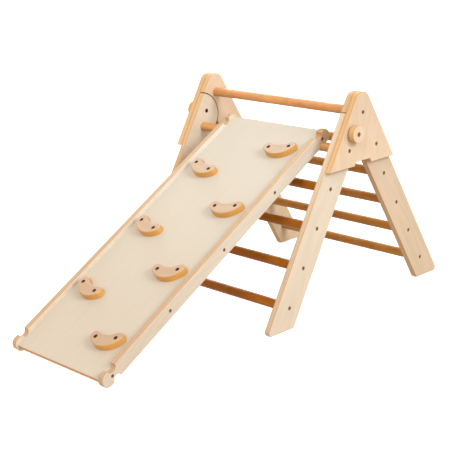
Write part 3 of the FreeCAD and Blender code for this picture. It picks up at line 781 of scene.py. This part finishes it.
def hexagon_screw(radius, head_radius, head_height, length, socket, depth, rounding):
    """A screw along -Z with the top of its head at the origin: rounded head, hexagon socket."""
    piece = start_round(head_radius, -head_height, 0)
    # The shank grows out of the underside and ends in a blunt point.
    pick("FACE", lambda centre, normal: normal.z < -SQUARE)
    bpy.ops.mesh.inset(thickness=head_radius - radius, depth=0)
    point = radius * POINT_LENGTH
    draw_out(head_height + point - length)
    bpy.ops.mesh.inset(thickness=radius * POINT_TAPER, depth=point)
    # The rim of the head is eased.
    pick("EDGE", at_height(0))
    bpy.ops.mesh.bevel(offset=rounding, segments=4, profile=0.5, affect="EDGES")
    # The top is inset to a round, and again to a round that becomes the hexagon.
    pick("FACE", lambda centre, normal: normal.z > SQUARE and abs(centre.z) < CLOSE)
    corner = socket / math.sqrt(3)
    ring = corner * SOCKET_RING
    bpy.ops.mesh.inset(thickness=head_radius - rounding - corner - ring, depth=0)
    bpy.ops.mesh.inset(thickness=ring, depth=0)
    mesh = bmesh.from_edit_mesh(piece.data)
    for face in mesh.faces:
        if face.select:
            for vertex in face.verts:
                angle = math.atan2(vertex.co.y, vertex.co.x) % math.radians(60) - math.radians(30)
                reach_out = socket / 2 / math.cos(angle)
                vertex.co.x, vertex.co.y = vertex.co.xy.normalized() * reach_out
    bmesh.update_edit_mesh(piece.data)
    # The socket is eased, pushed in, and ends in a shallow cone.
    bpy.ops.mesh.inset(thickness=SOCKET_RIM, depth=-SOCKET_EASE)
    draw_out(-depth)
    bpy.ops.mesh.inset(thickness=corner * CONE_INSET, depth=-depth * CONE_DEPTH)
    close_round()
    return piece


def screw_size(node):
    """The radius of a screw's head, that of its shank, and its whole length, from its node."""
    spot, axis = head_tops(node)[-1]
    points = min(solids_of(node), key=lambda solid: (solid[0] - spot).length)
    heights = [(point - spot).dot(axis) for point in points]
    widths = [((point - spot) - axis * height).length for point, height in zip(points, heights)]
    length = -min(heights)
    shank = max(width for width, height in zip(widths, heights) if height < -length + MM)
    return max(widths), shank, length


def thread(radius, pitch, start, turns):
    """A helical ridge round Z: a small wedge swept by a Screw modifier, closed at both ends."""
    deselect()
    bpy.ops.mesh.primitive_circle_add(
        vertices=len(RIDGE_SECTION), radius=pitch / 2, location=(radius, 0, start))
    ridge = bpy.context.object
    settle(ridge)
    for vertex, (out, up) in zip(ridge.data.vertices, RIDGE_SECTION):
        vertex.co = Vector((radius + out * pitch * RIDGE, 0, start + up * pitch))
    sweep = ridge.modifiers.new("sweep", "SCREW")
    sweep.axis = "Z"
    sweep.angle = math.radians(360)
    sweep.screw_offset = pitch
    sweep.iterations = turns
    sweep.steps = THREAD_STEPS
    sweep.render_steps = THREAD_STEPS
    bpy.ops.object.modifier_apply(modifier=sweep.name)
    bpy.ops.object.mode_set(mode="EDIT")
    bpy.ops.mesh.select_all(action="SELECT")
    bpy.ops.mesh.fill_holes(sides=len(RIDGE_SECTION))
    close_round()
    return ridge


def pin(radius, length, chamfer):
    """A round pin along -Z, with its chamfered end at the origin."""
    piece = start_round(radius, -length, 0)
    pick("EDGE", at_height(0))
    bpy.ops.mesh.bevel(offset=chamfer, segments=1, affect="EDGES")
    pick("FACE", lambda centre, normal: normal.z > SQUARE)
    bpy.ops.mesh.inset(thickness=radius * PIN_RING, depth=0)
    close_round()
    return piece


def washer(outer, inner, thickness, rounding):
    """A flat ring with eased rims, its back at the origin and its face up Z."""
    piece = start_round(outer, 0, thickness, WASHER_CORNERS)
    pick("FACE", lambda centre, normal: abs(normal.z) > SQUARE)
    bpy.ops.mesh.inset(thickness=outer - inner, depth=0, use_individual=True)
    bpy.ops.mesh.bridge_edge_loops()
    pick("EDGE", lambda first, second: abs(first.z - second.z) < CLOSE)
    bpy.ops.mesh.bevel(offset=rounding, segments=3, profile=0.5, affect="EDGES")
    close_round()
    return piece


# ---------------------------------------------------------------- operators

# A screw's head and socket, in radii of the head, and the depths of the sockets.
SCREW_HEAD, SCREW_SOCKET, BOLT_SOCKET = 0.62, 0.82, 0.77
SCREW_SOCKET_DEPTH, BOLT_SOCKET_DEPTH = 2 * MM, 2.4 * MM
BOLT_HEAD = 5 * MM
UNTHREADED = 7 * MM  # the bolt's head and the plain start of its shank
TIP_CHAMFER = 0.8 * MM
WASHER_ROUNDING = 0.35 * MM
INSERT_ROUNDING = 0.6 * MM


class CLIMBING_FRAME_OT_boards(bpy.types.Operator):
    """Give the legs, side plates and ramp rails their birch plywood"""

    bl_idname = "climbing_frame.boards"
    bl_label = "Finish boards"

    def execute(self, context):
        grains = {
            "rear_leg": -DOWN_REAR,
            "front_leg": -DOWN_FRONT,
            "side_plate": UP,
            "ramp_rail": UP_RAMP,
        }
        boards = [(board, side) for board in grains for side in SIDES]
        for seed, (board, side) in enumerate(boards, start=1):
            node = f"{board}_{side}"
            face, core, low_end_shading, high_end_shade, rim = SHEETS[node]
            material = plywood(
                node, grains[board], ACROSS * sign(side), tinted(timber().face, face), seed,
                core=tinted(timber().core, core), low_end_shading=low_end_shading, high_end_shade=high_end_shade, rim=rim)
            finish_node(node, material)
        return {"FINISHED"}


class CLIMBING_FRAME_OT_panel(bpy.types.Operator):
    """Give the ramp's panel its pale lacquer over plywood"""

    bl_idname = "climbing_frame.panel"
    bl_label = "Finish ramp panel"

    def execute(self, context):
        material = plywood(
            "ramp_panel", UP_RAMP, OFF_RAMP, tuple(timber().panel), PANEL_SEED,
            contrast=PANEL_CONTRAST, core=tinted(timber().hold_core, PANEL_CORE),
            low_end_shading=PANEL_LOW_END_SHADE)
        finish_node("ramp_panel", material)
        return {"FINISHED"}


class CLIMBING_FRAME_OT_rungs(bpy.types.Operator):
    """Give the handrail and the rungs their oiled beech"""

    bl_idname = "climbing_frame.rungs"
    bl_label = "Finish rungs"

    def execute(self, context):
        first, *others = numbered("front_rung")
        # Lit and shaded copies: painted light on the handrail and first front rung, painted shade
        # on the rear rungs and the front rungs under the ramp.
        lit_and_shaded = {
            "pale": (["handrail"], LIT_HANDRAIL_BEECH),
            "light": ([first], LIT_RUNG_BEECH),
            "brown": (numbered("rear_rung"), SHADED_REAR_BEECH),
            "deep": (others, SHADED_UNDER_RAMP_BEECH),
        }
        for lighting, (nodes, tint) in lit_and_shaded.items():
            material = beech(f"{lighting}_beech", tint)
            for node in nodes:
                finish_node(node, material)
        return {"FINISHED"}


class CLIMBING_FRAME_OT_holds(bpy.types.Operator):
    """Give each climbing hold its own piece of plywood, grain along its length"""

    bl_idname = "climbing_frame.holds"
    bl_label = "Finish holds"

    def execute(self, context):
        for number, node in enumerate(numbered("hold")):
            first, second = screws_in(node)
            grain = (second - first).normalized()
            colour = tinted(timber().hold, [1 - fade * number for fade in HOLD_FADE])
            material = plywood(
                node, grain, OFF_RAMP, colour, HOLD_SEED + number,
                core=tuple(timber().hold_core), skin_depth=timber().hold_skin / MM)
            finish_node(node, material)
        return {"FINISHED"}


class CLIMBING_FRAME_OT_screws(bpy.types.Operator):
    """Model the screws that hold the rungs, the ramp and the holds"""

    bl_idname = "climbing_frame.screws"
    bl_label = "Model screws"

    def execute(self, context):
        bronze = metal("bronzed_steel", tuple(hardware().bronze), roughness=0.36, wear=0.3)
        black = metal("blackened_steel", tuple(hardware().black), roughness=0.42, wear=0.3)
        for node, heads in HEADS.items():
            head, shank, length = screw_size(node)
            template = hexagon_screw(
                shank, head, head * SCREW_HEAD, length, head * SCREW_SOCKET, SCREW_SOCKET_DEPTH,
                hardware().head_round)
            piece = copies(template, heads, f"{node}_turned")
            finish_piece(piece, node, black if node == "hold_screws" else bronze)
        return {"FINISHED"}


class CLIMBING_FRAME_OT_knobs(bpy.types.Operator):
    """Finish the locking knobs and model their bolts, washers, threaded tips and inserts"""

    bl_idname = "climbing_frame.knobs"
    bl_label = "Finish knobs"

    def execute(self, context):
        bronze = bpy.data.materials["bronzed_steel"]
        black = bpy.data.materials["blackened_steel"]
        zinc = metal("zinc_plate", tuple(hardware().zinc), roughness=0.3, wear=0.2)
        pitch = hardware().thread_pitch
        for number, side in enumerate(SIDES):
            out = ACROSS * sign(side)
            node = f"knob_{side}"
            material = plywood(
                node, UP, out, tuple(timber().face), KNOB_SEED + number,
                core=tinted(timber().core, KNOB_CORE))
            finish_node(node, material)

            node = f"knob_bolt_{side}"
            head, shank, length = screw_size(node)
            core = shank - pitch * THREAD_DEPTH
            bolt = hexagon_screw(
                core, head, BOLT_HEAD, length, head * BOLT_SOCKET, BOLT_SOCKET_DEPTH,
                hardware().head_round)
            turns = int((length - UNTHREADED) / pitch) - 1
            ridge = thread(shank, pitch, pitch - length, turns)
            bolt = join([bolt, ridge], f"{node}_threaded")
            stand(bolt, head_tops(node)[0][0], out)
            finish_piece(bolt, node, bronze)

            node = f"knob_washer_{side}"
            thickness, across = size_of(node).xz
            inner = min((point - middle(node)).yz.length for point in solids_of(node)[0])
            ring = washer(across / 2, inner, thickness, WASHER_ROUNDING)
            ring.name = f"{node}_turned"
            stand(ring, middle(node) - out * thickness / 2, out)
            finish_piece(ring, node, zinc)

            node = f"knob_bolt_tip_{side}"
            length = size_of(node).x
            turns = int(length / pitch) - 2
            tip = pin(core, length, TIP_CHAMFER)
            tip = join([tip, thread(shank, pitch, -length, turns)], f"{node}_threaded")
            stand(tip, middle(node) - out * length / 2, -out)
            finish_piece(tip, node, bronze)

            node = f"knob_insert_{side}"
            length, across = size_of(node).xz
            collar = washer(across / 2, shank, length, INSERT_ROUNDING)
            collar.name = f"{node}_turned"
            stand(collar, middle(node) + out * length / 2, -out)
            finish_piece(collar, node, black)
        return {"FINISHED"}


# The studio, in metres.
FLOOR_RADIUS = 60
FLOOR_DROP = 0.5 * MM  # under the feet, so that the two never share a plane
HORIZON = 0.3  # half the height of the soft step between the room's two lights, on a unit globe
KEY_SIDE = Vector((0.80, 0.02, 0.50))
FILL_SIDE = Vector((0.25, -0.75, 0.62))
BACK_SIDE = Vector((-0.75, 0.60, 0.45))
CAMERA_PLACE = Vector((2.20524, -2.34863, 0.58760))  # from the middle of the handrail
CAMERA_TURN = (73.6901, 2.0939, 45.5507)  # degrees round X, Y and Z


class CLIMBING_FRAME_OT_stage(bpy.types.Operator):
    """Set the pale floor, the soft lights and the camera"""

    bl_idname = "climbing_frame.stage"
    bl_label = "Set the stage"

    def execute(self, context):
        scene = context.scene
        scene.view_settings.view_transform = "Standard"
        deselect()
        bpy.ops.mesh.primitive_circle_add(
            vertices=96, radius=FLOOR_RADIUS, fill_type="NGON", location=(0, 0, -FLOOR_DROP))
        floor = context.object
        floor.name = "studio_floor"
        floor.data.materials.append(floor_material())
        floor.visible_diffuse = False

        world = bpy.data.worlds.new("studio_room")
        room = Shade(world, "ShaderNodeOutputWorld")
        facing = room.node("ShaderNodeTexCoord")
        height = room.node("ShaderNodeSeparateXYZ", values={0: facing}, output="Z")
        above = height.rise(-HORIZON, HORIZON)
        light = room.mix(above, tuple(studio().ground), tuple(studio().ceiling))
        background = room.node("ShaderNodeBackground", values={"Color": light, "Strength": 1.0})
        room.tree.links.new(background.socket, room.output.inputs["Surface"])
        scene.world = world

        lamps = (
            ("key", KEY_SIDE, studio().key),
            ("fill", FILL_SIDE, studio().fill),
            ("back", BACK_SIDE, studio().back),
        )
        for name, side, power in lamps:
            lamp = bpy.data.lights.new(f"{name}_light", "SUN")
            lamp.energy = power
            lamp.angle = studio().spread
            lamp.color = tuple(studio().lamp)
            seat = bpy.data.objects.new(f"{name}_light", lamp)
            seat.location = HANDRAIL + side
            seat.rotation_euler = side.to_track_quat("Z", "Y").to_euler()
            scene.collection.objects.link(seat)

        camera = bpy.data.cameras.new("studio_camera")
        camera.lens = studio().focal_length
        camera.sensor_width = 36
        camera.clip_end = 200
        seat = bpy.data.objects.new("studio_camera", camera)
        seat.location = HANDRAIL + CAMERA_PLACE
        seat.rotation_euler = [math.radians(turn) for turn in CAMERA_TURN]
        scene.collection.objects.link(seat)
        scene.camera = seat
        return {"FINISHED"}


class CLIMBING_FRAME_PT_panel(bpy.types.Panel):
    """The steps of the finish, in order"""

    bl_label = "Climbing frame"
    bl_idname = "CLIMBING_FRAME_PT_panel"
    bl_space_type = "VIEW_3D"
    bl_region_type = "UI"
    bl_category = "Climbing frame"

    def draw(self, context):
        for group in (timber(), hardware(), studio()):
            box = self.layout.box()
            for name in group.bl_rna.properties.keys():
                if name not in ("rna_type", "name"):
                    box.prop(group, name)
        for step in STEPS:
            self.layout.operator(step.bl_idname)


GROUPS = {
    "climbing_frame_timber": TimberSettings,
    "climbing_frame_hardware": HardwareSettings,
    "climbing_frame_stage": StageSettings,
}
STEPS = (
    CLIMBING_FRAME_OT_boards,
    CLIMBING_FRAME_OT_panel,
    CLIMBING_FRAME_OT_rungs,
    CLIMBING_FRAME_OT_holds,
    CLIMBING_FRAME_OT_screws,
    CLIMBING_FRAME_OT_knobs,
    CLIMBING_FRAME_OT_stage,
)


def register():
    """Register the settings, the steps and the sidebar's panel."""
    for kind in (*GROUPS.values(), *STEPS, CLIMBING_FRAME_PT_panel):
        bpy.utils.register_class(kind)
    for name, group in GROUPS.items():
        setattr(bpy.types.Scene, name, bpy.props.PointerProperty(type=group))


def unregister():
    """Take them all away again."""
    for name in GROUPS:
        delattr(bpy.types.Scene, name)
    for kind in (CLIMBING_FRAME_PT_panel, *reversed(STEPS), *GROUPS.values()):
        bpy.utils.unregister_class(kind)


def main():
    """Run every step in order."""
    register()
    for step in STEPS:
        group, name = step.bl_idname.split(".")
        getattr(getattr(bpy.ops, group), name)()


if __name__ == "__main__":
    main()
